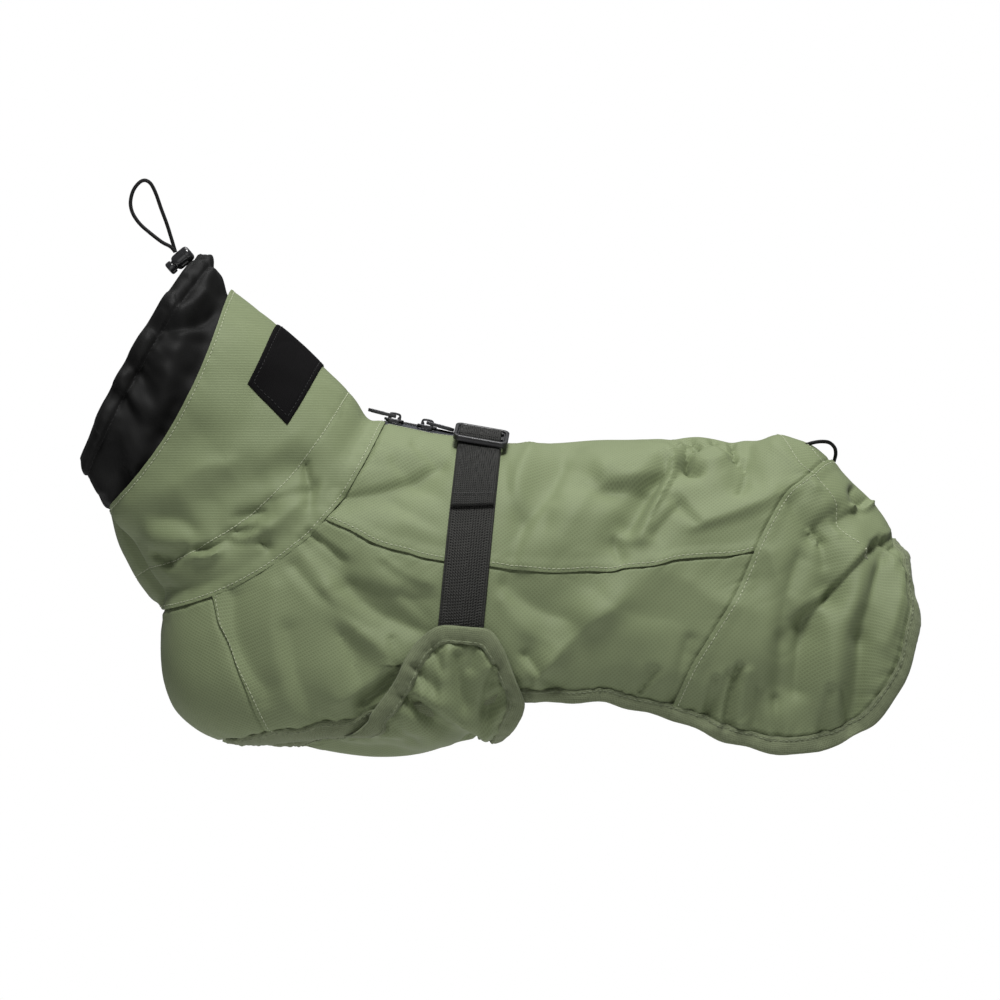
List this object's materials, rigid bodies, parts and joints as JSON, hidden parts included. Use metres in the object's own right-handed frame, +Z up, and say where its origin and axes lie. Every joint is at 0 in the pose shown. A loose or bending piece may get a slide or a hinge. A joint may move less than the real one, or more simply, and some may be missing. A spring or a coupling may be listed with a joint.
{
  "type": "dog shell jacket",
  "caption": "Hollow worn dog jacket with a tall collar, gathered neck tube, back zip, strap with a slide buckle, belly panel and open legs, neck and rear",
  "frame": {"origin": "inner surface of the back, on the spine under the strap, where the wearer carries the jacket", "axes": "+X from the neck to the tail, +Y to the dog's right side, +Z up"},
  "size_m": [0.4517, 0.1451, 0.3119],
  "materials": {
    "sage_cloth": "matte woven shell cloth",
    "sage_binding": "matte folded binding tape",
    "black_cloth": "matte woven lining cloth",
    "black_webbing": "ribbed flat webbing",
    "black_plastic": "satin moulded plastic",
    "black_cord": "thin round elastic cord",
    "dark_metal": "dark painted metal"
  },
  "bodies": {
    "jacket": {"collar": "sage_cloth", "collar_label": "black_cloth", "snood": "black_cloth", "back_panel": "sage_cloth", "side_panel_left": "sage_cloth", "side_panel_right": "sage_cloth", "chest_panel": "sage_cloth", "rear_panel": "sage_cloth", "hem_binding_left": "sage_binding", "hem_binding_right": "sage_binding", "belly_panel": "sage_cloth", "belly_binding_left": "sage_binding", "belly_binding_right": "sage_binding", "strap_left": "black_webbing", "strap_right": "black_webbing", "strap_tail": "black_webbing", "buckle": "black_plastic", "zip_tape": "black_cloth", "zip_slider_front": "dark_metal", "zip_slider_rear": "dark_metal", "cord_lock": "black_plastic", "snood_cord": "black_cord", "tail_loop": "black_cord"},
    "pull_front": {"zip_pull_front": "dark_metal"},
    "pull_rear": {"zip_pull_rear": "dark_metal"}
  },
  "joints": [
    {"name": "front_pull_hinge", "type": "hinge", "parent": "jacket", "child": "pull_front", "pos_m": [-0.0461, 0, 0.01502], "axis": [0, 1, 0], "range_deg": [0, 115]},
    {"name": "rear_pull_hinge", "type": "hinge", "parent": "jacket", "child": "pull_rear", "pos_m": [-0.02834, 0, 0.01148], "axis": [0, -1, 0], "range_deg": [0, 115]}
  ]
}
